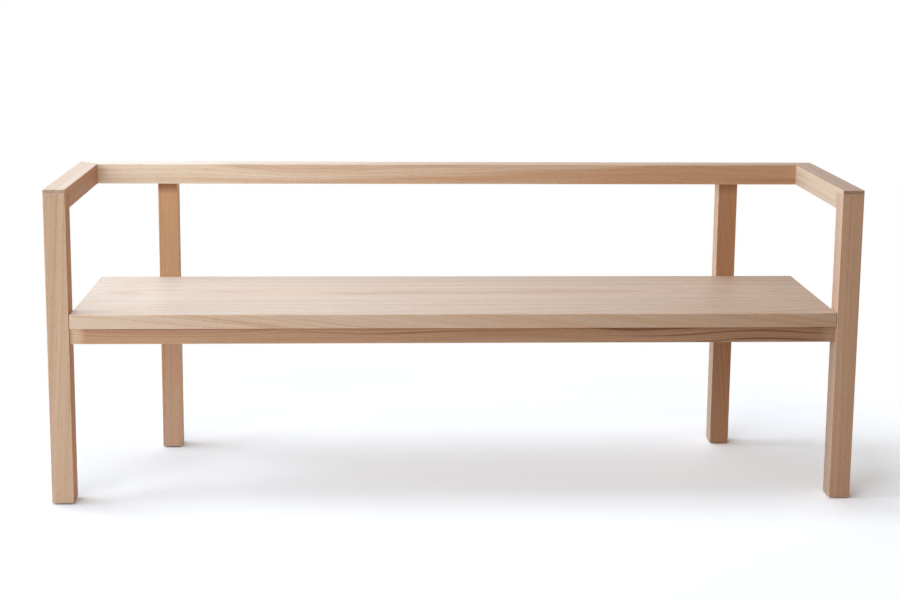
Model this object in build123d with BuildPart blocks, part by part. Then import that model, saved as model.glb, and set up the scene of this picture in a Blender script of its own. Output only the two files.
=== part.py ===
from build123d import *
import os

os.makedirs("parts", exist_ok=True)

# A plain wooden bench with arms and one back rail. All sizes are in millimetres.
# The origin is on the floor, under the middle of the bench. +X runs along the bench, to the
# right of someone who faces it, -Y is the front and +Z is up.

# Overall sizes
bench_length = 1800.0
bench_depth = 440.0
bench_height = 712.0

# Square stock of the frame
frame_size = 48.0  # front legs, arms and back rail
back_leg_size = 46.0
back_leg_inset = 192.0  # from each end of the bench to the outer face of the back leg
lip_thickness = 9.0  # end of each arm, over the top of the front leg
arris = 1.2  # rounding of the long edges
foot_chamfer = 1.5

# Seat board, glued from staves
seat_height = 434.0
seat_thickness = 32.0
seat_arris = 1.5
seat_end_gap = 1.0  # between each end of the seat and the front leg
stave_count = 6

# Aprons and cross rails under the seat
apron_height = 36.0
apron_thickness = 25.0
apron_setback = 8.0  # from the front face of the legs, and from the ends of the seat
cross_rail_names = ["left_end", "left_middle", "right_middle", "right_end"]
cross_rail_thickness = 24.0
cross_rail_inset = 40.0  # from each end of the seat to the outer face of the end cross rail

# Glued dowels and loose tenons
hole_clearance = 0.1  # all round a dowel, tenon, insert or screw in its hole
hole_end_clearance = 0.5
small_dowel_diameter = 8.0
small_dowel_length = 36.0
small_dowel_spacing = 18.0
large_dowel_diameter = 10.0
large_dowel_length = 50.0
large_dowel_spacing = 22.0
dowel_chamfer = 1.0
tenon_thickness = 8.0
tenon_width = 30.0
tenon_length = 36.0

# Bolts that hold the back legs to the rear apron
bolt_diameter = 6.0
bolt_spacing = 18.0
bolt_head_diameter = 10.0
bolt_head_height = 6.0
bolt_socket_width = 5.0
bolt_socket_depth = 3.0
bolt_hole_diameter = 7.0
bolt_washer_diameter = 12.0
bolt_washer_thickness = 1.6
insert_diameter = 12.0
insert_length = 18.0

# Screws that hold the seat to the cross rails
screw_diameter = 4.5
screw_bite = 18.0  # length of screw in the seat
screw_tip_length = 5.0
screw_head_diameter = 9.0
screw_head_height = 3.0
screw_recess_width = 1.0
screw_recess_length = 5.0
screw_recess_depth = 1.6
screw_washer_diameter = 10.0
screw_washer_thickness = 1.0
screw_slot_width = 5.5
screw_travel = 6.0  # free movement of the seat in each slot
pocket_width = 12.0
pocket_depth = 14.0

# Pads under the feet, each with a nail
glide_diameter = 26.0
glide_thickness = 3.0
glide_chamfer = 0.5
nail_diameter = 2.5
nail_length = 18.0
nail_tip_length = 4.0
nail_head_diameter = 7.0
nail_head_height = 1.0
nail_recess_depth = 1.4

# Places that follow from the sizes
end_x = bench_length / 2
inner_x = end_x - frame_size
front_y = -bench_depth / 2
back_y = bench_depth / 2
rail_front = back_y - frame_size
rail_bottom = bench_height - frame_size
lip_bottom = bench_height - lip_thickness
leg_bottom = glide_thickness

leg_x = end_x - frame_size / 2
leg_y = front_y + frame_size / 2
leg_back = front_y + frame_size
rail_y = back_y - frame_size / 2
rail_height = rail_bottom + frame_size / 2
back_leg_x = end_x - back_leg_inset - back_leg_size / 2
back_leg_front = rail_y - back_leg_size / 2

seat_bottom = seat_height - seat_thickness
seat_end = inner_x - seat_end_gap
seat_depth = back_leg_front - front_y
stave_width = seat_depth / stave_count
first_stave_y = front_y + stave_width / 2
stave_ys = [first_stave_y + i * stave_width for i in range(stave_count)]

apron_bottom = seat_bottom - apron_height
apron_middle = seat_bottom - apron_height / 2
front_apron_front = front_y + apron_setback
front_apron_back = front_apron_front + apron_thickness
front_apron_y = (front_apron_front + front_apron_back) / 2
rear_apron_back = back_leg_front
rear_apron_front = rear_apron_back - apron_thickness
rear_apron_y = (rear_apron_front + rear_apron_back) / 2
cross_rail_end = seat_end - cross_rail_inset - cross_rail_thickness / 2
cross_rail_pitch = 2 * cross_rail_end / (len(cross_rail_names) - 1)
cross_rail_xs = [-cross_rail_end + i * cross_rail_pitch for i in range(len(cross_rail_names))]

sides = {"left": -1, "right": 1}


def pairs(middles, spacing):
    """Two places for each middle, one on each side of it."""
    return [middle + half * spacing / 2 for middle in middles for half in (-1, 1)]


def at_x(x):
    """Plane square to X, in which places are (y, z)."""
    return Plane.YZ.offset(x)


def at_y(y):
    """Plane square to Y, in which places are (x, z)."""
    return Plane.XZ.offset(-y)


def at_z(z):
    """Plane square to Z, in which places are (x, y)."""
    return Plane.XY.offset(z)


def rods(plane, places, diameter, length, mode=Mode.ADD):
    """Round rods, or holes with Mode.SUBTRACT, half on each side of a plane."""
    with BuildSketch(plane) as ends:
        with Locations(*places):
            Circle(diameter / 2)
    extrude(ends.sketch, amount=length / 2, both=True, mode=mode)


def discs(plane, places, outer_diameter, inner_diameter, thickness):
    """Rings that stand on the side of a plane that it faces."""
    with BuildSketch(plane) as rings:
        with Locations(*places):
            Circle(outer_diameter / 2)
            Circle(inner_diameter / 2, mode=Mode.SUBTRACT)
    extrude(rings.sketch, amount=thickness)


def dowels(joint):
    """The dowels of one joint, with their ends chamfered later."""
    rods(joint["plane"], joint["places"], joint["diameter"], joint["length"])


def dowel_holes(joint):
    """Holes for the dowels of one joint, in whichever piece is being made."""
    diameter = joint["diameter"] + 2 * hole_clearance
    length = joint["length"] + 2 * hole_end_clearance
    rods(joint["plane"], joint["places"], diameter, length, Mode.SUBTRACT)


def small_joint(plane, places):
    """A joint with small dowels."""
    return {
        "plane": plane,
        "places": places,
        "diameter": small_dowel_diameter,
        "length": small_dowel_length,
    }


def large_joint(plane, places):
    """A joint with large dowels."""
    return {
        "plane": plane,
        "places": places,
        "diameter": large_dowel_diameter,
        "length": large_dowel_length,
    }


def pointed_pins(places, bearing, head_diameter, head_height, shank_diameter, length, tip_length):
    """Screws or nails that point up, each with its head under the height that it bears on."""
    for x, y in places:
        foot = (x, y, bearing)
        with BuildSketch(Plane(origin=foot, x_dir=(1, 0, 0), z_dir=(0, -1, 0))) as half:
            with BuildLine():
                Polyline(
                    (0, -head_height),
                    (head_diameter / 2, -head_height),
                    (head_diameter / 2, 0),
                    (shank_diameter / 2, 0),
                    (shank_diameter / 2, length - tip_length),
                    (0, length),
                    close=True,
                )
            make_face()
        revolve(half.sketch, axis=Axis(foot, (0, 0, 1)))


# Joints. Each is a plane between two pieces and the places of its dowels in it.
small_heights = pairs([apron_middle], small_dowel_spacing)
arm_dowel_height = (rail_bottom + lip_bottom) / 2
arm_joint = large_joint(
    at_y(leg_back),
    [(x, arm_dowel_height) for x in pairs([-leg_x, leg_x], large_dowel_spacing)],
)
back_leg_joint = large_joint(
    at_z(rail_bottom),
    [(x, rail_y) for x in pairs([-back_leg_x, back_leg_x], large_dowel_spacing)],
)
apron_joints = [
    small_joint(at_x(side * inner_x), [(front_apron_y, z) for z in small_heights])
    for side in sides.values()
]
cross_rail_places = [(x, z) for x in cross_rail_xs for z in small_heights]
front_cross_joint = small_joint(at_y(front_apron_back), cross_rail_places)
rear_cross_joint = small_joint(at_y(rear_apron_front), cross_rail_places)


def mitre_plane(side):
    """Plane of a mitre between an arm and the back rail, at the middle of the joint."""
    middle = (side * leg_x, rail_y, rail_height)
    return Plane(origin=middle, x_dir=(side, 1, 0), z_dir=(-side, 1, 0))


def tenons(side, clearance, end_clearance, mode):
    """The loose tenon of one mitre, or with clearances and Mode.SUBTRACT its mortises."""
    with BuildSketch(mitre_plane(side)) as ends:
        width = tenon_width + 2 * clearance
        SlotOverall(width, tenon_thickness + 2 * clearance, rotation=90)
    extrude(ends.sketch, amount=tenon_length / 2 + end_clearance, both=True, mode=mode)


# Bolts through the rear apron into the back legs
bolt_heights = pairs([apron_middle], bolt_spacing)
bolt_places = [(x, z) for x in (-back_leg_x, back_leg_x) for z in bolt_heights]
bolt_length = bolt_washer_thickness + apron_thickness + insert_length
bolt_bore = bolt_diameter + 2 * hole_clearance

# Screws through the cross rails into the seat, one in the middle of each inner stave
screw_ys = stave_ys[1:-1]
pocket_top = apron_bottom + pocket_depth
screw_bearing = pocket_top - screw_washer_thickness
screw_length = seat_bottom + screw_bite - screw_bearing
screw_bore = screw_diameter + 2 * hole_clearance
screw_places = [(x, y) for x in cross_rail_xs for y in screw_ys]

# Nails through the pads into the feet
foot_places = [(side * leg_x, leg_y) for side in sides.values()]
foot_places += [(side * back_leg_x, rail_y) for side in sides.values()]
nail_end = nail_recess_depth + nail_length
nail_bore = nail_diameter + 2 * hole_clearance


def nail_holes():
    """Pilot holes for the nails in the foot that is being made."""
    rods(at_z(0), foot_places, nail_bore, 2 * (nail_end + hole_end_clearance), Mode.SUBTRACT)


# Front legs
for side_name, side in sides.items():
    with BuildPart() as front_leg:
        with BuildSketch(at_z(leg_bottom)):
            with Locations((side * leg_x, leg_y)):
                Rectangle(frame_size, frame_size)
        extrude(amount=lip_bottom - leg_bottom)
        chamfer(front_leg.faces().sort_by(Axis.Z)[0].edges(), foot_chamfer)
        fillet(front_leg.edges().filter_by(Axis.Z), arris)
        dowel_holes(arm_joint)
        for joint in apron_joints:
            dowel_holes(joint)
        nail_holes()
    front_leg.part.label = f"front_leg_{side_name}"
    export_step(front_leg.part, f"parts/front_leg_{side_name}.step")

# Back legs
insert_hole_diameter = insert_diameter + 2 * hole_clearance
insert_hole_length = 2 * (insert_length + hole_end_clearance)
for side_name, side in sides.items():
    with BuildPart() as back_leg:
        with BuildSketch(at_z(leg_bottom)):
            with Locations((side * back_leg_x, rail_y)):
                Rectangle(back_leg_size, back_leg_size)
        extrude(amount=rail_bottom - leg_bottom)
        chamfer(back_leg.faces().sort_by(Axis.Z)[0].edges(), foot_chamfer)
        fillet(back_leg.edges().filter_by(Axis.Z), arris)
        dowel_holes(back_leg_joint)
        rods(
            at_y(back_leg_front),
            bolt_places,
            insert_hole_diameter,
            insert_hole_length,
            Mode.SUBTRACT,
        )
        nail_holes()
    back_leg.part.label = f"back_leg_{side_name}"
    export_step(back_leg.part, f"parts/back_leg_{side_name}.step")

# Arms, with a lip over the front leg and a mitre at the back
for side_name, side in sides.items():
    with BuildPart() as arm:
        with BuildSketch(at_z(rail_bottom)):
            with BuildLine():
                Polyline(
                    (side * end_x, front_y),
                    (side * inner_x, front_y),
                    (side * inner_x, rail_front),
                    (side * end_x, back_y),
                    close=True,
                )
            make_face()
        extrude(amount=frame_size)
        long_edges = arm.edges().filter_by(Axis.Y)
        front_edges = arm.faces().sort_by(Axis.Y)[0].edges()
        fillet(long_edges + front_edges, arris)
        with BuildSketch(at_z(rail_bottom)):
            with Locations((side * leg_x, leg_y)):
                Rectangle(frame_size, frame_size)
        extrude(amount=frame_size - lip_thickness, mode=Mode.SUBTRACT)
        dowel_holes(arm_joint)
        tenons(side, hole_clearance, hole_end_clearance, Mode.SUBTRACT)
    arm.part.label = f"arm_{side_name}"
    export_step(arm.part, f"parts/arm_{side_name}.step")

# Back rail, mitred at both ends
with BuildPart() as back_rail:
    with BuildSketch(at_z(rail_bottom)):
        with BuildLine():
            Polyline(
                (-end_x, back_y),
                (-inner_x, rail_front),
                (inner_x, rail_front),
                (end_x, back_y),
                close=True,
            )
        make_face()
    extrude(amount=frame_size)
    fillet(back_rail.edges().filter_by(Axis.X), arris)
    dowel_holes(back_leg_joint)
    for side in sides.values():
        tenons(side, hole_clearance, hole_end_clearance, Mode.SUBTRACT)
back_rail.part.label = "back_rail"
export_step(back_rail.part, "parts/back_rail.step")

# Seat staves, each one a strip of the board
pilot_length = 2 * (screw_bite + hole_end_clearance)
for number, stave_y in enumerate(stave_ys, start=1):
    with BuildPart() as seat_stave:
        with BuildSketch(at_z(seat_bottom)):
            with Locations((0, front_y + seat_depth / 2)):
                Rectangle(2 * seat_end, seat_depth)
        extrude(amount=seat_thickness)
        fillet(seat_stave.edges(), seat_arris)
        with BuildSketch(at_z(seat_bottom)):
            with Locations((0, stave_y)):
                Rectangle(2 * seat_end, stave_width)
        extrude(amount=seat_thickness, mode=Mode.INTERSECT)
        rods(at_z(seat_bottom), screw_places, screw_bore, pilot_length, Mode.SUBTRACT)
    seat_stave.part.label = f"seat_stave_{number}"
    export_step(seat_stave.part, f"parts/seat_stave_{number}.step")

# Front apron, between the front legs
with BuildPart() as front_apron:
    with BuildSketch(at_z(apron_bottom)):
        with Locations((0, front_apron_y)):
            Rectangle(2 * inner_x, apron_thickness)
    extrude(amount=apron_height)
    fillet(front_apron.edges().filter_by(Axis.X).group_by(Axis.Z)[0], arris)
    for joint in apron_joints:
        dowel_holes(joint)
    dowel_holes(front_cross_joint)
front_apron.part.label = "front_apron"
export_step(front_apron.part, "parts/front_apron.step")

# Rear apron, against the back legs
with BuildPart() as rear_apron:
    with BuildSketch(at_z(apron_bottom)):
        with Locations((0, rear_apron_y)):
            Rectangle(2 * (seat_end - apron_setback), apron_thickness)
    extrude(amount=apron_height)
    fillet(rear_apron.edges().filter_by(Axis.X).group_by(Axis.Z)[0], arris)
    dowel_holes(rear_cross_joint)
    rods(at_y(rear_apron_y), bolt_places, bolt_hole_diameter, apron_thickness, Mode.SUBTRACT)
rear_apron.part.label = "rear_apron"
export_step(rear_apron.part, "parts/rear_apron.step")

# Cross rails, with a pocket and a slot for each seat screw
cross_rail_length = rear_apron_front - front_apron_back
for name, x in zip(cross_rail_names, cross_rail_xs):
    with BuildPart() as cross_rail:
        with BuildSketch(at_z(apron_bottom)):
            with Locations((x, front_apron_back + cross_rail_length / 2)):
                Rectangle(cross_rail_thickness, cross_rail_length)
        extrude(amount=apron_height)
        fillet(cross_rail.edges().filter_by(Axis.Y).group_by(Axis.Z)[0], arris)
        dowel_holes(front_cross_joint)
        dowel_holes(rear_cross_joint)
        with BuildSketch(at_z(apron_bottom)):
            with Locations(*[(x, y) for y in screw_ys]):
                SlotOverall(pocket_width + screw_travel, pocket_width, rotation=90)
        extrude(amount=pocket_depth, mode=Mode.SUBTRACT)
        with BuildSketch(at_z(apron_bottom)):
            with Locations(*[(x, y) for y in screw_ys]):
                SlotOverall(screw_slot_width + screw_travel, screw_slot_width, rotation=90)
        extrude(amount=apron_height, mode=Mode.SUBTRACT)
    cross_rail.part.label = f"cross_rail_{name}"
    export_step(cross_rail.part, f"parts/cross_rail_{name}.step")

# Dowels, one group for each kind of joint
dowel_groups = {
    "arm_dowels": [arm_joint],
    "back_leg_dowels": [back_leg_joint],
    "apron_dowels": apron_joints,
    "cross_rail_dowels": [front_cross_joint, rear_cross_joint],
}
for name, joints in dowel_groups.items():
    with BuildPart() as dowel_group:
        for joint in joints:
            dowels(joint)
        chamfer(dowel_group.edges().filter_by(GeomType.CIRCLE), dowel_chamfer)
    dowel_group.part.label = name
    export_step(dowel_group.part, f"parts/{name}.step")

# Loose tenons in the mitres
with BuildPart() as mitre_tenons:
    for side in sides.values():
        tenons(side, 0, 0, Mode.ADD)
mitre_tenons.part.label = "mitre_tenons"
export_step(mitre_tenons.part, "parts/mitre_tenons.step")

# Bolts of the back legs
washer_front = rear_apron_front - bolt_washer_thickness
with BuildPart() as leg_bolts:
    with BuildSketch(at_y(washer_front)):
        with Locations(*bolt_places):
            Circle(bolt_diameter / 2)
    extrude(amount=-bolt_length)
    with BuildSketch(at_y(washer_front)):
        with Locations(*bolt_places):
            Circle(bolt_head_diameter / 2)
    extrude(amount=bolt_head_height)
    with BuildSketch(at_y(washer_front - bolt_head_height)):
        with Locations(*bolt_places):
            RegularPolygon(bolt_socket_width / 2, 6, major_radius=False)
    extrude(amount=-bolt_socket_depth, mode=Mode.SUBTRACT)
leg_bolts.part.label = "leg_bolts"
export_step(leg_bolts.part, "parts/leg_bolts.step")

with BuildPart() as leg_bolt_washers:
    washer_plane = at_y(rear_apron_front)
    discs(washer_plane, bolt_places, bolt_washer_diameter, bolt_bore, bolt_washer_thickness)
leg_bolt_washers.part.label = "leg_bolt_washers"
export_step(leg_bolt_washers.part, "parts/leg_bolt_washers.step")

with BuildPart() as leg_bolt_inserts:
    discs(at_y(back_leg_front), bolt_places, insert_diameter, bolt_bore, -insert_length)
leg_bolt_inserts.part.label = "leg_bolt_inserts"
export_step(leg_bolt_inserts.part, "parts/leg_bolt_inserts.step")

# Screws of the seat
with BuildPart() as seat_screws:
    pointed_pins(
        screw_places,
        screw_bearing,
        screw_head_diameter,
        screw_head_height,
        screw_diameter,
        screw_length,
        screw_tip_length,
    )
    with BuildSketch(at_z(screw_bearing - screw_head_height)):
        with Locations(*screw_places):
            Rectangle(screw_recess_length, screw_recess_width)
            Rectangle(screw_recess_width, screw_recess_length)
    extrude(amount=screw_recess_depth, mode=Mode.SUBTRACT)
seat_screws.part.label = "seat_screws"
export_step(seat_screws.part, "parts/seat_screws.step")

with BuildPart() as seat_screw_washers:
    washer_plane = at_z(screw_bearing)
    discs(washer_plane, screw_places, screw_washer_diameter, screw_bore, screw_washer_thickness)
seat_screw_washers.part.label = "seat_screw_washers"
export_step(seat_screw_washers.part, "parts/seat_screw_washers.step")

# Pads and nails under the feet
with BuildPart() as glide_pads:
    discs(at_z(0), foot_places, glide_diameter, nail_bore, glide_thickness)
    rim = glide_pads.faces().group_by(Axis.Z)[0].edges().group_by(SortBy.LENGTH)[-1]
    chamfer(rim, glide_chamfer)
    with BuildSketch(at_z(0)):
        with Locations(*foot_places):
            Circle(nail_head_diameter / 2 + hole_clearance)
    extrude(amount=nail_recess_depth, mode=Mode.SUBTRACT)
glide_pads.part.label = "glide_pads"
export_step(glide_pads.part, "parts/glide_pads.step")

with BuildPart() as glide_nails:
    pointed_pins(
        foot_places,
        nail_recess_depth,
        nail_head_diameter,
        nail_head_height,
        nail_diameter,
        nail_length,
        nail_tip_length,
    )
glide_nails.part.label = "glide_nails"
export_step(glide_nails.part, "parts/glide_nails.step")
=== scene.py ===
import math

import bpy
from mathutils import Matrix, Vector


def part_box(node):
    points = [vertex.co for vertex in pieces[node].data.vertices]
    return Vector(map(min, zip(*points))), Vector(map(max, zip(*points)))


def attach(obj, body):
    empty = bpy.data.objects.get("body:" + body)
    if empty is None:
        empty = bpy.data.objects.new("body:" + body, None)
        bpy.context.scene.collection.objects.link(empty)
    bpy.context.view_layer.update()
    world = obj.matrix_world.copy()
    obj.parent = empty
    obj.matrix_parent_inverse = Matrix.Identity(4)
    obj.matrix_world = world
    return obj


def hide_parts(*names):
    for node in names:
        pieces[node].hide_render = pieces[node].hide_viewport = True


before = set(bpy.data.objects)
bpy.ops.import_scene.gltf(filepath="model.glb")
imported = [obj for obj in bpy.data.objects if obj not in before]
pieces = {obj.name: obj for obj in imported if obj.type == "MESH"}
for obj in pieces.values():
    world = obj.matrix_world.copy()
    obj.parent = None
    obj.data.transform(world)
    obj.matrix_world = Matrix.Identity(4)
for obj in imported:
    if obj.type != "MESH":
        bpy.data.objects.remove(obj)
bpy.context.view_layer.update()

# The camera, found from the corners of the bench in the photograph
camera_place = (-0.174, -3.549, 1.246)
camera_turn = math.radians(2.67)  # to the right
camera_tilt = math.radians(8.84)  # downwards
camera_roll = math.radians(0.50)
camera_lens = 61.8  # in mm
camera_sensor = 36.0  # its width, in mm
camera_shift = -0.13

# The grain of each direction is turned to lie along X in the wood's own coordinates
quarter_turn = math.pi / 2
turn_of_grain = {
    "x": (0.0, 0.0, 0.0),
    "y": (0.0, 0.0, -quarter_turn),
    "z": (0.0, quarter_turn, 0.0),
}

# How fine the oak's figure is: features to the metre, along the grain and twice across it
slow_bends = (1.3, 5.0, 5.0)
wobbles = (9.0, 70.0, 70.0)
fine_streaks = (2.4, 170.0, 170.0)
fine_fibres = (26.0, 1300.0, 1300.0)
pore_dashes = (80.0, 2300.0, 2300.0)
vein_patches = (2.2, 14.0, 14.0)
wobble_depth = 0.0018
place_per_seed = (7.3, 1.9, 3.1)
age_per_seed = 3.7

# How the wood changes from ring to ring, in features to the ring, and by how much
uneven_pace = 0.31
uneven_share = 2.4
band_pace = 0.16
vein_pace = 0.40
streak_share = 0.9

# Where each feature starts and is full, on its own scale from 0 to 1
early_wood_starts = (0.0, 0.10)
early_wood_ends = (0.15, 0.75)
band_range = (0.34, 0.70)
pore_range = (0.56, 0.68)
patch_range = (0.42, 0.66)
vein_range = (0.50, 0.72)
fibre_range = (0.25, 0.75)
end_grain_range = (0.72, 0.98)

# What a feature multiplies the colour of the wood by. Some are painted light and shade: the dark band
# under the rail is painted shade, the lighter rubbed edges are partly a painted highlight, and the
# outer upright faces get painted light and shade.
pale_end_gain = (1.25, 1.45, 1.65)
early_wood_tone = (0.93, 0.90, 0.87, 1.0)
fibre_tone = (0.93, 0.905, 0.88, 1.0)
pore_tone = (0.66, 0.56, 0.48, 1.0)
painted_shade_tone = (0.47, 0.36, 0.29, 1.0)
end_grain_tone = (0.70, 0.62, 0.56, 1.0)
rubbed_edge_and_highlight_tone = (1.16, 1.15, 1.14, 1.0)
outer_upright_light_and_shade = (0.93, 0.84, 0.75, 1.0)
no_tone = (1.0, 1.0, 1.0, 1.0)
vein_tone = (0.62, 0.56, 0.50)

# Roughness that features add, and the relief of fibres, early wood and pores
pore_roughness = 0.20
streak_roughness = 0.08
end_grain_roughness = 0.10
fibre_height = 0.25
early_wood_height = 0.20
relief_strength = 0.35
relief_depth = 0.0002

# A face counts as turned to a side between these two shares of its normal
turned_little = 0.2
turned_fully = 0.9

# Bands at the end of a piece and along its edges, by their distance from the end or the edge: lighter
# ends, painted shade under the rail, and rubbed edges with a painted highlight
pale_end_near, pale_end_far = 0.012, 0.040
painted_shade_near, painted_shade_far = 0.003, 0.029
edge_near, edge_far = 0.0006, 0.0022


class NodeTree:
    """A node tree, with short calls for the nodes that the finishes are made of."""

    def __init__(self, tree):
        self.tree = tree
        self.tree.nodes.clear()

    def add(self, kind, inputs=None, **settings):
        """Add a node, set it up and wire or set its inputs."""
        node = self.tree.nodes.new(kind)
        for name, value in settings.items():
            setattr(node, name, value)
        for key, value in (inputs or {}).items():
            self.feed(node.inputs[key], value)
        return node

    def feed(self, socket, value):
        """Link a socket, or set it to a plain value."""
        if isinstance(value, bpy.types.NodeSocket):
            self.tree.links.new(value, socket)
        else:
            socket.default_value = value

    def math(self, operation, first, second=0.0, clamp=False):
        """One sum on numbers."""
        node = self.add("ShaderNodeMath", {0: first, 1: second}, operation=operation, use_clamp=clamp)
        return node.outputs[0]

    def vector(self, operation, first, second=(0.0, 0.0, 0.0)):
        """One sum on vectors; a length or a dot product gives a number."""
        node = self.add("ShaderNodeVectorMath", {0: first, 1: second}, operation=operation)
        gives_number = operation in ("LENGTH", "DOT_PRODUCT")
        return node.outputs["Value" if gives_number else "Vector"]

    def scaled(self, vector, number):
        """A vector times a number."""
        node = self.add("ShaderNodeVectorMath", {0: vector, "Scale": number}, operation="SCALE")
        return node.outputs["Vector"]

    def noise(self, place, detail=2.0, output="Fac"):
        """Smooth noise with features one unit wide, from 0 to 1."""
        inputs = {"Vector": place, "Scale": 1.0, "Detail": detail, "Roughness": 0.5}
        return self.add("ShaderNodeTexNoise", inputs).outputs[output]

    def noise_along(self, number, detail=1.0):
        """Smooth noise along a line, from 0 to 1."""
        inputs = {"W": number, "Scale": 1.0, "Detail": detail, "Roughness": 0.5}
        return self.add("ShaderNodeTexNoise", inputs, noise_dimensions="1D").outputs["Fac"]

    def ramp(self, value, low, high, start=0.0, end=1.0):
        """A smooth step from start to end as the value goes from low to high."""
        inputs = {"Value": value, "From Min": low, "From Max": high, "To Min": start, "To Max": end}
        node = self.add("ShaderNodeMapRange", inputs, interpolation_type="SMOOTHSTEP")
        return node.outputs["Result"]

    def blend(self, share, first, second, kind="MIX"):
        """Mix two colours, or lay the second over the first."""
        node = self.add("ShaderNodeMix", data_type="RGBA", blend_type=kind)
        self.feed(node.inputs["Factor"], share)
        self.feed(node.inputs[6], first)
        self.feed(node.inputs[7], second)
        return node.outputs[2]


def grain_group():
    """The figure of oak: rings round a pith, streaks, fibres, pores, end grain and rubbed edges with a
    painted highlight, with painted light and shade on upright faces and flanks, and painted shade
    under the rail.
    """
    group = bpy.data.node_groups.new("oak_grain", "ShaderNodeTree")
    nodes = NodeTree(group)
    sockets = group.interface
    for name, kind in (
        ("Place", "NodeSocketVector"),
        ("Facing", "NodeSocketVector"),
        ("Half size", "NodeSocketVector"),
        ("Pith", "NodeSocketVector"),
        ("Lean", "NodeSocketVector"),
        ("Drift", "NodeSocketVector"),
        ("Seed", "NodeSocketFloat"),
        ("Ring width", "NodeSocketFloat"),
        ("Wander", "NodeSocketFloat"),
        ("Figure", "NodeSocketFloat"),
        ("Veins", "NodeSocketFloat"),
        ("Pale start", "NodeSocketFloat"),
        ("Pale finish", "NodeSocketFloat"),
        ("Dark finish", "NodeSocketFloat"),
        ("Warmth", "NodeSocketFloat"),
        ("Upright", "NodeSocketFloat"),
        ("Inner only", "NodeSocketFloat"),
        ("Matt", "NodeSocketFloat"),
        ("Ring marks", "NodeSocketFloat"),
        ("Pale", "NodeSocketColor"),
        ("Warm", "NodeSocketColor"),
        ("Vein", "NodeSocketColor"),
        ("Upright tone", "NodeSocketColor"),
        ("Flank tone", "NodeSocketColor"),
    ):
        sockets.new_socket(name, in_out="INPUT", socket_type=kind)
    for name, kind in (
        ("Colour", "NodeSocketColor"),
        ("Roughness", "NodeSocketFloat"),
        ("Height", "NodeSocketFloat"),
    ):
        sockets.new_socket(name, in_out="OUTPUT", socket_type=kind)
    given = nodes.add("NodeGroupInput").outputs
    place = given["Place"]
    seed = given["Seed"]
    length = nodes.add("ShaderNodeSeparateXYZ", {0: place}).outputs[0]
    leaning = nodes.vector("ADD", place, nodes.scaled(given["Lean"], length))
    moved = nodes.vector("ADD", leaning, nodes.scaled(place_per_seed, seed))

    # The trunk wanders slowly along its length, so flat faces cut its rings in long arches
    slow = nodes.noise(nodes.vector("MULTIPLY", moved, slow_bends), detail=1.0, output="Color")
    bend = nodes.scaled(nodes.vector("SUBTRACT", slow, (0.5, 0.5, 0.5)), given["Wander"])
    wobble = nodes.noise(nodes.vector("MULTIPLY", moved, wobbles))
    from_pith = nodes.vector("SUBTRACT", nodes.vector("ADD", leaning, bend), given["Pith"])
    across = nodes.vector("LENGTH", nodes.vector("MULTIPLY", from_pith, (0.0, 1.0, 1.0)))
    radius = nodes.math("ADD", across, nodes.math("MULTIPLY", wobble, wobble_depth))
    rings_out = nodes.math("DIVIDE", radius, given["Ring width"])
    age = nodes.math("ADD", rings_out, nodes.math("MULTIPLY", seed, age_per_seed))
    uneven = nodes.noise_along(nodes.math("MULTIPLY", age, uneven_pace))
    uneven = nodes.math("MULTIPLY", uneven, uneven_share)
    ring = nodes.math("FRACT", nodes.math("ADD", age, uneven))
    started = nodes.ramp(ring, *early_wood_starts)
    early = nodes.math("MULTIPLY", started, nodes.ramp(ring, *early_wood_ends, 1.0, 0.0))
    bands = nodes.noise_along(nodes.math("MULTIPLY", age, band_pace), detail=2.0)
    bands = nodes.ramp(bands, *band_range)

    # Fine figure along the grain
    streaks = nodes.noise(nodes.vector("MULTIPLY", moved, fine_streaks), detail=3.0)
    fibres = nodes.noise(nodes.vector("MULTIPLY", moved, fine_fibres))
    dashes = nodes.noise(nodes.vector("MULTIPLY", moved, pore_dashes), detail=1.0)
    pores = nodes.math("MULTIPLY", nodes.ramp(dashes, *pore_range), early)

    # Ground colour, from pale sapwood to warm heartwood, which may shift along the piece; on the rail,
    # the staves and the apron that shift is partly painted light and shade
    share = nodes.math("MULTIPLY", nodes.math("SUBTRACT", bands, 0.5), given["Figure"])
    streaky = nodes.math("MULTIPLY", nodes.math("SUBTRACT", streaks, 0.5), streak_share)
    share = nodes.math("ADD", nodes.math("ADD", share, streaky), given["Warmth"])
    share = nodes.math("ADD", share, nodes.vector("DOT_PRODUCT", place, given["Drift"]), clamp=True)
    colour = nodes.blend(share, given["Pale"], given["Warm"])

    # Darker veins follow the rings through the heartwood, in patches
    patches = nodes.noise(nodes.vector("MULTIPLY", moved, vein_patches), detail=1.0)
    patches = nodes.ramp(patches, *patch_range)
    veins = nodes.noise_along(nodes.math("MULTIPLY", age, vein_pace), detail=2.0)
    veins = nodes.ramp(veins, *vein_range)
    veins = nodes.math("MULTIPLY", nodes.math("MULTIPLY", veins, patches), share)
    veins = nodes.math("MULTIPLY", veins, given["Veins"])
    colour = nodes.blend(veins, colour, given["Vein"])

    # Lighter, paler ends of a piece
    half_length = nodes.add("ShaderNodeSeparateXYZ", {0: given["Half size"]}).outputs[0]
    to_start = nodes.math("ADD", half_length, length)
    to_finish = nodes.math("SUBTRACT", half_length, length)
    at_start = nodes.ramp(to_start, pale_end_near, pale_end_far, 1.0, 0.0)
    at_start = nodes.math("MULTIPLY", at_start, given["Pale start"])
    at_finish = nodes.ramp(to_finish, pale_end_near, pale_end_far, 1.0, 0.0)
    at_finish = nodes.math("MULTIPLY", at_finish, given["Pale finish"])
    pale_end = nodes.vector("MULTIPLY", given["Pale"], pale_end_gain)
    colour = nodes.blend(nodes.math("ADD", at_start, at_finish), colour, pale_end)

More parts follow.
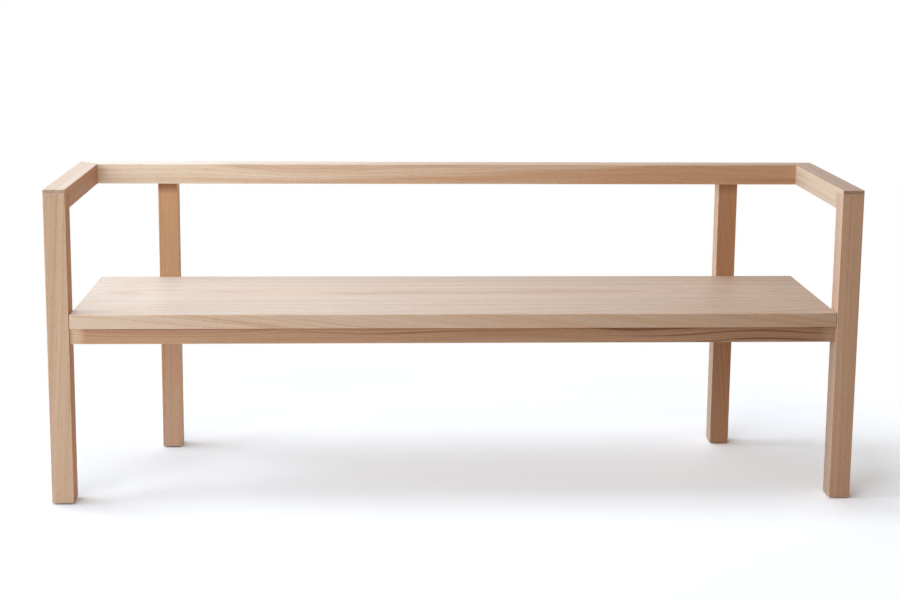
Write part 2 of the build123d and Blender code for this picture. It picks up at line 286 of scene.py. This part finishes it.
    # Early wood, fibres and pores are darker lines over the ground colour
    marks = nodes.math("MULTIPLY", early, given["Ring marks"])
    colour = nodes.blend(marks, colour, early_wood_tone, "MULTIPLY")
    fibrous = nodes.ramp(fibres, *fibre_range, 1.0, 0.0)
    colour = nodes.blend(fibrous, colour, fibre_tone, "MULTIPLY")
    colour = nodes.blend(pores, colour, pore_tone, "MULTIPLY")

    # Painted light and shade: upright faces are multiplied by a tone of their own, darker and warmer
    # where they stand in shade and lighter where light falls on them, which the faces that are sat on
    # or leant on don't get.
    # Where a piece asks for it, only its inner face gets that tone, and its outer face a plainer one.
    sides = nodes.add("ShaderNodeSeparateXYZ", {0: nodes.vector("ABSOLUTE", given["Facing"])}).outputs
    facing = nodes.add("ShaderNodeSeparateXYZ", {0: given["Facing"]}).outputs
    outer = nodes.ramp(facing[1], turned_little, turned_fully)
    outer = nodes.math("MULTIPLY", outer, given["Inner only"])
    upright_tone = nodes.blend(outer, given["Upright tone"], outer_upright_light_and_shade)
    upright = nodes.ramp(sides[1], turned_little, turned_fully)
    upright = nodes.math("MULTIPLY", upright, given["Upright"])
    colour = nodes.blend(upright, colour, upright_tone, "MULTIPLY")

    # Painted shade: a dark band at the top of a piece, under the rail, for the shadow that the rail
    # throws there, in front and behind
    painted_shade = nodes.ramp(to_finish, painted_shade_near, painted_shade_far, 1.0, 0.0)
    painted_shade = nodes.math("MULTIPLY", painted_shade, given["Dark finish"])
    off_flanks = nodes.ramp(sides[2], turned_little, turned_fully, 1.0, 0.0)
    painted_shade = nodes.math("MULTIPLY", painted_shade, off_flanks)
    colour = nodes.blend(painted_shade, colour, painted_shade_tone, "MULTIPLY")

    # Painted light and shade: the flanks of a post get a tone of their own, darker where they stand in
    # shade and lighter where light falls on them; where a piece asks for it, only its inner flank gets
    # it
    outer = nodes.ramp(facing[2], turned_little, turned_fully)
    outer = nodes.math("MULTIPLY", outer, given["Inner only"])
    flank_tone = nodes.blend(outer, given["Flank tone"], no_tone)
    flank = nodes.ramp(sides[2], turned_little, turned_fully)
    colour = nodes.blend(flank, colour, flank_tone, "MULTIPLY")

    # End grain drinks more oil and is darker
    end = nodes.ramp(sides[0], *end_grain_range)
    colour = nodes.blend(end, colour, end_grain_tone, "MULTIPLY")

    # Rubbed edges, paler partly as worn wood and partly as a painted highlight: the middle one of the
    # three distances to the faces is small there
    depth = nodes.vector("SUBTRACT", nodes.vector("ABSOLUTE", place), given["Half size"])
    split = nodes.add("ShaderNodeSeparateXYZ", {0: depth}).outputs
    high = nodes.math("MAXIMUM", nodes.math("MAXIMUM", split[0], split[1]), split[2])
    low = nodes.math("MINIMUM", nodes.math("MINIMUM", split[0], split[1]), split[2])
    total = nodes.math("ADD", nodes.math("ADD", split[0], split[1]), split[2])
    middle = nodes.math("SUBTRACT", nodes.math("SUBTRACT", total, high), low)
    edge = nodes.ramp(middle, -edge_far, -edge_near)
    colour = nodes.blend(edge, colour, rubbed_edge_and_highlight_tone, "MULTIPLY")

    # Pores, streaks and end grain are rougher; fibres stand up, and early wood and pores lie low
    rough = nodes.math("ADD", given["Matt"], nodes.math("MULTIPLY", pores, pore_roughness))
    rough = nodes.math("ADD", rough, nodes.math("MULTIPLY", streaks, streak_roughness))
    rough = nodes.math("ADD", rough, nodes.math("MULTIPLY", end, end_grain_roughness))
    height = nodes.math("MULTIPLY", fibres, fibre_height)
    height = nodes.math("SUBTRACT", height, nodes.math("MULTIPLY", early, early_wood_height))
    height = nodes.math("SUBTRACT", height, pores)
    nodes.add("NodeGroupOutput", {"Colour": colour, "Roughness": rough, "Height": height})
    return group


oak_grain = grain_group()


def box_of(names):
    """Middle and half size of the box round some pieces."""
    lows, highs = zip(*(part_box(name) for name in names))
    low = Vector(map(min, *lows)) if len(lows) > 1 else lows[0]
    high = Vector(map(max, *highs)) if len(highs) > 1 else highs[0]
    return (low + high) / 2, (high - low) / 2


def wood(name, grain, seed, pith, pale, warm, edges=None, gloss=0.2, **more):
    """A finish for one piece of wood, with its grain along an axis and its pith beside it.

    More are inputs of the grain group, by name. Edges are the pieces in whose common box the ends and
    the rubbed edges with their painted highlight lie, where that isn't the box of the piece itself.
    """
    shape = {
        "Ring width": 0.0024,
        "Wander": 0.02,
        "Figure": 0.5,
        "Veins": 0.5,
        "Pale start": 0.0,
        "Pale finish": 0.0,
        "Dark finish": 0.0,
        "Warmth": 0.5,
        "Upright": 0.0,
        "Inner only": 0.0,
        "Matt": 0.54,
        "Ring marks": 1.0,
        "Upright tone": no_tone,
        "Flank tone": no_tone,
        "Lean": (0.0, 0.0, 0.0),
        "Drift": (0.0, 0.0, 0.0),
    }
    for key, value in more.items():
        shape[key.replace("_", " ").capitalize()] = value
    vein = [share * part for share, part in zip(vein_tone, warm)]
    material = bpy.data.materials.new(name)
    material.use_nodes = True
    nodes = NodeTree(material.node_tree)
    middle, half = box_of(edges or [name])
    turn = turn_of_grain[grain]
    turned = Matrix.Rotation(turn[2], 3, "Z") @ Matrix.Rotation(turn[1], 3, "Y")
    offset = -(turned @ middle)
    half = Vector(map(abs, turned @ half))
    given = nodes.add("ShaderNodeTexCoord").outputs
    place = nodes.add(
        "ShaderNodeMapping", {"Vector": given["Object"], "Rotation": turn, "Location": offset}
    )
    facing = nodes.add(
        "ShaderNodeMapping", {"Vector": given["Normal"], "Rotation": turn}, vector_type="VECTOR"
    )
    grain_node = nodes.add("ShaderNodeGroup", node_tree=oak_grain)
    shape.update({
        "Place": place.outputs[0],
        "Facing": facing.outputs[0],
        "Half size": half,
        "Pith": (0.0, *pith),
        "Seed": seed,
        "Pale": (*pale, 1.0),
        "Warm": (*warm, 1.0),
        "Vein": (*vein, 1.0),
    })
    for key, value in shape.items():
        nodes.feed(grain_node.inputs[key], value)
    made = grain_node.outputs
    relief = {"Strength": relief_strength, "Distance": relief_depth, "Height": made["Height"]}
    bump = nodes.add("ShaderNodeBump", relief)
    surface = nodes.add(
        "ShaderNodeBsdfPrincipled",
        {
            "Base Color": made["Colour"],
            "Roughness": made["Roughness"],
            "Normal": bump.outputs["Normal"],
            "Specular IOR Level": gloss,
        },
    )
    nodes.add("ShaderNodeOutputMaterial", {"Surface": surface.outputs[0]})
    return material


def dress(name, material):
    """Give a piece its finish."""
    for slot in pieces[name].material_slots:
        slot.material = material


def oak(name, *given, **more):
    """Finish a piece in oak of its own."""
    dress(name, wood(name, *given, **more))


# Colours of the oak, as linear shares of the light that the wood gives back. Each piece has a pale
# and a warm tone, and shifts from one to the other along it, partly where the board did and partly as
# painted light and shade. The painted light and shade of upright faces and of flanks multiply both.
oak(
    "front_leg_left", grain="z", seed=1.0, pith=(0.05, 0.09),
    pale=(0.62, 0.462, 0.345), warm=(0.522, 0.365, 0.256),
    drift=(0.2, 0.0, 0.0), lean=(0.0, 0.0, 0.06),
    flank_tone=(1.08, 0.78, 0.57, 1.0), inner_only=1.0, gloss=0.1,
)
oak(
    "front_leg_right", grain="z", seed=2.0, pith=(-0.07, 0.06),
    pale=(0.68, 0.443, 0.298), warm=(0.578, 0.35, 0.226),
    ring_marks=1.5, flank_tone=(0.95, 1.07, 1.22, 1.0), gloss=0.5,
)
# The dark band at the top of each back leg, under the rail, is painted shade.
oak(
    "back_leg_left", grain="z", seed=3.0, pith=(0.03, 0.08),
    pale=(0.536, 0.398, 0.325), warm=(0.685, 0.379, 0.168),
    figure=0.12, veins=1.0, ring_marks=2.2, drift=(0.7, 0.0, 0.0), lean=(0.0, 0.0, 0.03),
    dark_finish=1.0, flank_tone=(1.19, 1.24, 1.25, 1.0),
)
oak(
    "back_leg_right", grain="z", seed=4.0, pith=(-0.05, 0.07),
    pale=(0.475, 0.295, 0.205), warm=(0.60, 0.30, 0.137),
    figure=0.2, veins=1.2, wander=0.04, ring_marks=3.0, drift=(0.3, 0.0, -8.0), lean=(0.0, 0.0, -0.12),
    dark_finish=0.62, flank_tone=(1.27, 1.67, 2.06, 1.0),
)
oak(
    "arm_left", grain="y", seed=5.0, pith=(0.05, 0.07),
    pale=(0.68, 0.612, 0.555), warm=(0.575, 0.45, 0.355),
    upright=1.0, upright_tone=(0.90, 0.57, 0.365, 1.0), inner_only=1.0, gloss=0.3,
)
oak(
    "arm_right", grain="y", seed=6.0, pith=(0.06, -0.06),
    pale=(0.68, 0.53, 0.43), warm=(0.57, 0.405, 0.30),
    upright=1.0, upright_tone=(1.09, 1.19, 1.22, 1.0), gloss=0.3,
)
# The rail's paler left end is partly the board's own and partly painted light, falling off to the
# right; the tones of its faces are painted light and shade.
oak(
    "back_rail", grain="x", seed=7.0, pith=(0.08, 0.03),
    pale=(0.80, 0.73, 0.65), warm=(0.61, 0.40, 0.265),
    matt=0.5, ring_marks=0.4, warmth=0.68, veins=1.1, drift=(0.75, 0.0, 0.0),
    upright=1.0, upright_tone=(1.04, 0.95, 0.85, 1.0), flank_tone=(0.95, 1.0, 1.04, 1.0), gloss=0.35,
)
# The apron's dark tone is partly the wood's own and partly painted shade under the seat; its darker
# top and its darkening to the right are painted shade. Its ends are lighter and paler.
oak(
    "front_apron", grain="x", seed=8.0, pith=(0.06, 0.04),
    pale=(0.53, 0.342, 0.222), warm=(0.395, 0.215, 0.127),
    veins=2.6, wander=0.05, ring_marks=1.6, drift=(0.25, 0.0, 26.0), pale_start=1.0, pale_finish=0.35,
)

# The staves were ripped from three boards, two from each, and share their figure in pairs. The
# grain of the first runs out at its front edge.
# Their pale tone, paler still at the left end, is partly the wood's own and partly painted sheen;
# their darker front and back edges are painted shade.
staves = ["seat_stave_%d" % number for number in range(1, 7)]
for number, name in enumerate(staves):
    run_out = 0.12 if number == 0 else 0.0
    oak(
        name, grain="x", seed=20.0 + number // 2, pith=(0.03, -0.12),
        pale=(0.78, 0.73, 0.68), warm=(0.725, 0.535, 0.41),
        figure=0.36, ring_marks=0.7, drift=(0.4, 0.0, 0.0), lean=(0.0, 0.0, run_out),
        upright=1.0, upright_tone=(0.88, 0.78, 0.68, 1.0), gloss=0.1, edges=staves,
    )

# The frame under the seat, and the dowels and tenons inside the joints, share two plain tones
hidden_pale = (0.74, 0.55, 0.38)
hidden_warm = (0.58, 0.39, 0.24)
for name, grain, seed, pith in (
    ("rear_apron", "x", 9.0, (-0.06, 0.05)),
    ("cross_rail_left_end", "y", 10.0, (0.05, 0.06)),
    ("cross_rail_left_middle", "y", 11.0, (0.04, -0.06)),
    ("cross_rail_right_middle", "y", 12.0, (-0.05, 0.06)),
    ("cross_rail_right_end", "y", 13.0, (0.05, -0.05)),
    ("arm_dowels", "x", 14.0, (0.03, 0.03)),
    ("back_leg_dowels", "x", 15.0, (0.03, 0.03)),
    ("apron_dowels", "x", 16.0, (0.03, 0.03)),
    ("cross_rail_dowels", "x", 17.0, (0.03, 0.03)),
    ("mitre_tenons", "x", 18.0, (0.03, 0.03)),
):
    oak(name, grain, seed, pith, hidden_pale, hidden_warm)


# The zinc plate of the screws, bolts, washers, inserts and nails
spangles_to_metre = 900.0
spangle_range = (0.2, 0.8)
zinc_dark = (0.50, 0.52, 0.55, 1.0)
zinc_light = (0.74, 0.75, 0.76, 1.0)
zinc_roughness = (0.28, 0.42)


def steel(name):
    """Bright zinc plate, with a fine spangle."""
    material = bpy.data.materials.new(name)
    material.use_nodes = True
    nodes = NodeTree(material.node_tree)
    place = nodes.add("ShaderNodeTexCoord").outputs["Object"]
    spangle = nodes.noise(nodes.scaled(place, spangles_to_metre))
    surface = nodes.add(
        "ShaderNodeBsdfPrincipled",
        {
            "Base Color": nodes.blend(spangle, zinc_dark, zinc_light),
            "Metallic": 1.0,
            "Roughness": nodes.ramp(spangle, *spangle_range, *zinc_roughness),
        },
    )
    nodes.add("ShaderNodeOutputMaterial", {"Surface": surface.outputs[0]})
    return material


zinc = steel("zinc_plate")
for name in (
    "leg_bolts",
    "leg_bolt_washers",
    "leg_bolt_inserts",
    "seat_screws",
    "seat_screw_washers",
    "glide_nails",
):
    dress(name, zinc)

# The pads: their plastic, and how finely they are moulded
scuffs_to_metre = 350.0
scuff_range = (0.3, 0.7)
scuff_strength = 0.2
scuff_depth = 0.0001
plastic_clean = (0.72, 0.70, 0.65, 1.0)
plastic_scuffed = (0.56, 0.54, 0.50, 1.0)
plastic_roughness = (0.55, 0.75)
pad_steps_round = 72
pad_steps_of_edge = 4
web_overlap = 0.0008
web_rounding = 0.0002


def pad_plastic(name):
    """Matt moulded plastic, scuffed a little by the floor."""
    material = bpy.data.materials.new(name)
    material.use_nodes = True
    nodes = NodeTree(material.node_tree)
    place = nodes.add("ShaderNodeTexCoord").outputs["Object"]
    scuffs = nodes.noise(nodes.scaled(place, scuffs_to_metre), detail=4.0)
    relief = {"Strength": scuff_strength, "Distance": scuff_depth, "Height": scuffs}
    bump = nodes.add("ShaderNodeBump", relief)
    surface = nodes.add(
        "ShaderNodeBsdfPrincipled",
        {
            "Base Color": nodes.blend(scuffs, plastic_clean, plastic_scuffed),
            "Roughness": nodes.ramp(scuffs, *scuff_range, *plastic_roughness),
            "Normal": bump.outputs["Normal"],
        },
    )
    nodes.add("ShaderNodeOutputMaterial", {"Surface": surface.outputs[0]})
    return material


def pad_ring(nodes, inner, outer, low, high, rounding):
    """A ring with rounded edges, from an inner to an outer width, between two heights."""
    middle = nodes.math("MULTIPLY", nodes.math("ADD", inner, outer), 0.25)
    across = nodes.math("MULTIPLY", nodes.math("SUBTRACT", outer, inner), 0.5)
    tall = nodes.math("SUBTRACT", high, low)
    path = nodes.add(
        "GeometryNodeCurvePrimitiveCircle", {"Resolution": pad_steps_round, "Radius": middle}
    )
    section = nodes.add("GeometryNodeCurvePrimitiveQuadrilateral", {"Width": across, "Height": tall})
    soft = nodes.add(
        "GeometryNodeFilletCurve",
        {
            "Curve": section.outputs[0],
            "Count": pad_steps_of_edge,
            "Radius": rounding,
            "Limit Radius": True,
        },
        mode="POLY",
    )
    swept = nodes.add(
        "GeometryNodeCurveToMesh", {"Curve": path.outputs[0], "Profile Curve": soft.outputs[0]}
    )
    lift = nodes.math("MULTIPLY", nodes.math("ADD", low, high), 0.5)
    place = nodes.add("ShaderNodeCombineXYZ", {"Z": lift})
    moved = nodes.add(
        "GeometryNodeTransform", {"Geometry": swept.outputs[0], "Translation": place.outputs[0]}
    )
    return moved.outputs[0]


def pad_maker():
    """Mould a pad at every point: a rim that stands on the floor, and a web that its nail holds."""
    tree = bpy.data.node_groups.new("pad_maker", "GeometryNodeTree")
    nodes = NodeTree(tree)
    tree.interface.new_socket("Feet", in_out="INPUT", socket_type="NodeSocketGeometry")
    for name in ("Pad width", "Thickness", "Recess width", "Recess depth", "Nail hole", "Rounding"):
        tree.interface.new_socket(name, in_out="INPUT", socket_type="NodeSocketFloat")
    tree.interface.new_socket("Plastic", in_out="INPUT", socket_type="NodeSocketMaterial")
    tree.interface.new_socket("Pads", in_out="OUTPUT", socket_type="NodeSocketGeometry")
    given = nodes.add("NodeGroupInput").outputs
    thickness = given["Thickness"]
    recess_width = given["Recess width"]
    rim = pad_ring(nodes, recess_width, given["Pad width"], 0.0, thickness, given["Rounding"])
    web_width = nodes.math("ADD", recess_width, web_overlap)
    recess_depth = given["Recess depth"]
    web = pad_ring(nodes, given["Nail hole"], web_width, recess_depth, thickness, web_rounding)
    pad = nodes.add("GeometryNodeJoinGeometry")
    nodes.feed(pad.inputs[0], rim)
    nodes.feed(pad.inputs[0], web)
    pads = nodes.add(
        "GeometryNodeInstanceOnPoints", {"Points": given["Feet"], "Instance": pad.outputs[0]}
    )
    real = nodes.add("GeometryNodeRealizeInstances", {"Geometry": pads.outputs[0]})
    smooth = nodes.add("GeometryNodeSetShadeSmooth", {"Geometry": real.outputs[0]})
    dressed = nodes.add(
        "GeometryNodeSetMaterial", {"Geometry": smooth.outputs[0], "Material": given["Plastic"]}
    )
    nodes.add("NodeGroupOutput", {"Pads": dressed.outputs[0]})
    return tree


def make_pads():
    """Four moulded pads in place of the plain ones, each under the middle of its leg."""
    feet = []
    for name in ("front_leg_left", "front_leg_right", "back_leg_left", "back_leg_right"):
        middle, _ = box_of([name])
        feet.append((middle.x, middle.y, 0.0))
    mesh = bpy.data.meshes.new("feet")
    mesh.from_pydata(feet, [], [])
    maker = bpy.data.objects.new("feet", mesh)
    bpy.context.scene.collection.objects.link(maker)
    modifier = maker.modifiers.new("pads", "NODES")
    modifier.node_group = pad_maker()
    plastic = pad_plastic("moulded_plastic")
    sizes = {
        "Pad width": 0.026,
        "Thickness": 0.003,
        "Recess width": 0.0072,
        "Recess depth": 0.0014,
        "Nail hole": 0.0027,
        "Rounding": 0.0007,
        "Plastic": plastic,
    }
    for item in modifier.node_group.interface.items_tree:
        if item.name in sizes:
            modifier[item.identifier] = sizes[item.name]
    evaluated = maker.evaluated_get(bpy.context.evaluated_depsgraph_get())
    made = bpy.data.meshes.new_from_object(evaluated)
    bpy.data.objects.remove(maker)
    made.name = "moulded_pads"
    made.polygons.foreach_set("material_index", [0] * len(made.polygons))
    made.materials.clear()
    made.materials.append(plastic)
    pads = bpy.data.objects.new("moulded_pads", made)
    bpy.context.scene.collection.objects.link(pads)
    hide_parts("glide_pads")
    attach(pads, "root")


make_pads()


def seen_share(nodes):
    """1 for rays that show a background: those of the camera, of reflections and of glass."""
    rays = nodes.add("ShaderNodeLightPath").outputs
    seen = nodes.math("MAXIMUM", rays["Is Camera Ray"], rays["Is Glossy Ray"])
    return nodes.math("MAXIMUM", seen, rays["Is Transmission Ray"])


# Light from all round is weak and warm, as thrown back by the room, which is seen as plain white
room_tone = (1.0, 0.79, 0.60, 1.0)
room_strength = 0.136
plain_white = (1.0, 1.0, 1.0, 1.0)


def make_world():
    """Soft even light from all round, seen as plain white."""
    world = bpy.data.worlds.new("studio")
    world.use_nodes = True
    nodes = NodeTree(world.node_tree)
    light = nodes.add("ShaderNodeBackground", {"Color": room_tone, "Strength": room_strength})
    white = nodes.add("ShaderNodeBackground", {"Color": plain_white, "Strength": 1.0})
    both = nodes.add(
        "ShaderNodeMixShader", {0: seen_share(nodes), 1: light.outputs[0], 2: white.outputs[0]}
    )
    nodes.add("ShaderNodeOutputWorld", {"Surface": both.outputs[0]})
    bpy.context.scene.world = world


# The floor as light meets it, and as it is seen: its level rises away from the lamps on the left,
# so that it looks evenly white, and beyond the shadow it is plain white
floor_half = 30.0
floor_paint = (0.85, 0.85, 0.85, 1.0)
floor_level = 1.29
floor_rise = 0.34
floor_tint_left = (0.95, 1.0, 1.06, 1.0)
floor_tint_right = (0.915, 1.0, 1.10, 1.0)
floor_tint_reach = 1.1
white_stretch = (1.0, 1.35, 1.0)
white_from, white_to = 1.0, 1.5


def make_floor():
    """A plain white floor that keeps the shadow of the bench and is seen as white elsewhere."""
    half = floor_half
    mesh = bpy.data.meshes.new("floor")
    corners = [(-half, -half, 0.0), (half, -half, 0.0), (half, half, 0.0), (-half, half, 0.0)]
    mesh.from_pydata(corners, [], [(0, 1, 2, 3)])
    floor = bpy.data.objects.new("floor", mesh)
    bpy.context.scene.collection.objects.link(floor)
    material = bpy.data.materials.new("floor")
    material.use_nodes = True
    nodes = NodeTree(material.node_tree)
    plain = nodes.add("ShaderNodeBsdfDiffuse", {"Color": floor_paint})
    place = nodes.add("ShaderNodeTexCoord").outputs["Object"]
    across = nodes.add("ShaderNodeSeparateXYZ", {0: place}).outputs[0]
    rise = nodes.math("EXPONENT", nodes.math("MULTIPLY", across, floor_rise))
    level = nodes.math("MULTIPLY", rise, floor_level)
    to_right = nodes.ramp(across, -floor_tint_reach, floor_tint_reach)
    tint = nodes.blend(to_right, floor_tint_left, floor_tint_right)
    shaded = nodes.add("ShaderNodeBsdfDiffuse", {"Color": nodes.scaled(tint, level)})
    white = nodes.add("ShaderNodeEmission", {"Color": plain_white, "Strength": 1.0})
    far = nodes.vector("LENGTH", nodes.vector("MULTIPLY", place, white_stretch))
    far = nodes.ramp(far, white_from, white_to)
    seen = nodes.add("ShaderNodeMixShader", {0: far, 1: shaded.outputs[0], 2: white.outputs[0]})
    both = nodes.add(
        "ShaderNodeMixShader", {0: seen_share(nodes), 1: plain.outputs[0], 2: seen.outputs[0]}
    )
    nodes.add("ShaderNodeOutputMaterial", {"Surface": both.outputs[0]})
    mesh.materials.append(material)


def make_light(name, place, target, size, power, colour):
    """A large soft panel of light that faces a target."""
    light = bpy.data.lights.new(name, "AREA")
    light.shape = "RECTANGLE"
    light.size, light.size_y = size
    light.energy = power
    light.color = colour
    panel = bpy.data.objects.new(name, light)
    bpy.context.scene.collection.objects.link(panel)
    panel.location = place
    panel.rotation_euler = (Vector(target) - Vector(place)).to_track_quat("-Z", "Y").to_euler()
    panel.visible_camera = False


def make_camera():
    """The camera of the photograph."""
    camera = bpy.data.objects.new("camera", bpy.data.cameras.new("camera"))
    bpy.context.scene.collection.objects.link(camera)
    camera.data.sensor_width = camera_sensor
    camera.data.lens = camera_lens
    camera.data.shift_y = camera_shift
    camera.matrix_world = (
        Matrix.Translation(camera_place)
        @ Matrix.Rotation(-camera_turn, 4, "Z")
        @ Matrix.Rotation(quarter_turn - camera_tilt, 4, "X")
        @ Matrix.Rotation(camera_roll, 4, "Z")
    )
    bpy.context.scene.camera = camera


make_world()
make_floor()

# The lamps: name, place, point that they face, width and height, power in watts, and tint
cool_tint = (0.94, 1.0, 1.08)
warm_tint = (1.0, 0.9, 0.8)
plain_tint = (1.0, 1.0, 1.0)
for lamp in (
    ("key", (-1.55, -2.35, 1.35), (-0.2, 0.0, 0.4), (2.2, 1.7), 44.5, plain_tint),
    ("side", (-2.9, 0.2, 1.5), (0.0, 0.0, 0.4), (2.2, 2.0), 50.5, cool_tint),
    ("overhead", (-0.7, 0.0, 2.4), (-0.7, 0.0, 0.0), (2.6, 1.2), 21.5, plain_tint),
    ("rear_left", (-1.95, 2.8, 1.35), (-0.35, 0.0, 0.4), (3.4, 2.2), 42.5, plain_tint),
    ("rear_right", (0.6, 3.2, 1.6), (0.3, 0.0, 0.4), (2.4, 2.0), 14.5, plain_tint),
    ("right", (3.4, -0.4, 1.2), (0.0, 0.0, 0.4), (2.4, 2.0), 3.5, warm_tint),
):
    make_light(*lamp)
make_camera()
bpy.context.scene.view_settings.view_transform = "Standard"
